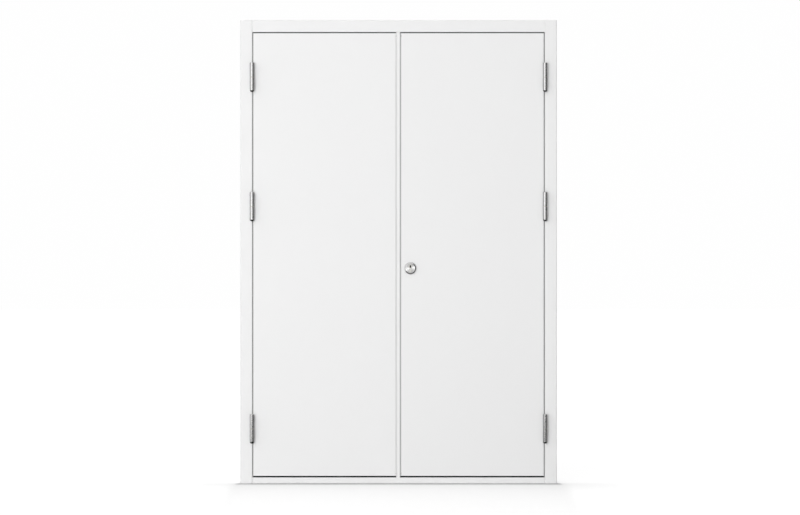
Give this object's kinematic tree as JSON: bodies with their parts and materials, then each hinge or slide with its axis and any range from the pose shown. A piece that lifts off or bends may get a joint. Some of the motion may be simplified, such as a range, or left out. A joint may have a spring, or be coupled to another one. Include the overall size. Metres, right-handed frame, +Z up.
{
  "type": "double fire door",
  "caption": "Steel double fire door in its pressed-steel frame, with leaves that swing outwards on lift-off hinges, a slim centre mullion and a keyed lock.",
  "frame": {"origin": "centre of the threshold's underside, which is the flat face that stands on the floor", "axes": "+X to the right seen from the front, +Y back into the wall, +Z up; the leaves' fronts face -Y"},
  "size_m": [1.4, 0.121, 2.05],
  "materials": {
    "white_steel": "white powder coat, satin, fine texture",
    "satin_steel": "satin steel",
    "zinc_steel": "bright zinc plate",
    "bright_steel": "satin chrome",
    "nickel": "nickel plate",
    "brass_washer": "plain brass",
    "black_seal": "black rubber",
    "dark_strip": "dark grey strip",
    "grey_strip": "grey strip",
    "white_strip": "white strip",
    "mineral_wool": "mineral wool board"
  },
  "bodies": {
    "frame": {"left_jamb": "white_steel", "right_jamb": "white_steel", "left_fixing_tubes": "zinc_steel", "right_fixing_tubes": "zinc_steel", "head": "white_steel", "threshold": "white_steel", "centre_mullion": "white_steel", "strike_plate": "zinc_steel", "jamb_stop_seals": "black_seal", "mullion_stop_seals": "black_seal", "head_stop_seals": "black_seal", "threshold_stop_seals": "black_seal", "jamb_fire_strips": "grey_strip", "head_fire_strips": "dark_strip", "threshold_fire_strips": "black_seal", "left_meeting_strip": "white_strip", "right_meeting_strip": "grey_strip", "left_hinge_washers": "brass_washer", "right_hinge_washers": "brass_washer", "left_upper_hinge_frame_half": "satin_steel", "left_middle_hinge_frame_half": "satin_steel", "left_lower_hinge_frame_half": "satin_steel", "right_upper_hinge_frame_half": "satin_steel", "right_middle_hinge_frame_half": "satin_steel", "right_lower_hinge_frame_half": "satin_steel"},
    "left_leaf": {"left_leaf_front": "white_steel", "left_leaf_back": "white_steel", "left_leaf_core": "mineral_wool", "left_upper_hinge_leaf_half": "satin_steel", "left_middle_hinge_leaf_half": "satin_steel", "left_lower_hinge_leaf_half": "satin_steel"},
    "right_leaf": {"right_leaf_front": "white_steel", "right_leaf_back": "white_steel", "right_leaf_core": "mineral_wool", "lock_case": "zinc_steel", "lock_forend": "zinc_steel", "lock_bolt": "nickel", "outer_rose": "bright_steel", "inner_rose": "bright_steel", "lock_cylinder": "nickel", "right_upper_hinge_leaf_half": "satin_steel", "right_middle_hinge_leaf_half": "satin_steel", "right_lower_hinge_leaf_half": "satin_steel"},
    "lock_plug": {"lock_plug": "nickel"}
  },
  "joints": [
    {"name": "left_leaf_swing", "type": "hinge", "parent": "frame", "child": "left_leaf", "pos_m": [-0.648, -0.061, 1.025], "axis": [0, 0, -1], "range_deg": [0, 180]},
    {"name": "right_leaf_swing", "type": "hinge", "parent": "frame", "child": "right_leaf", "pos_m": [0.648, -0.061, 1.025], "axis": [0, 0, 1], "range_deg": [0, 180]},
    {"name": "lock_plug_turn", "type": "hinge", "parent": "right_leaf", "child": "lock_plug", "pos_m": [0.0525, -0.0595, 0.959], "axis": [0, 1, 0], "range_deg": [0, 360]}
  ]
}
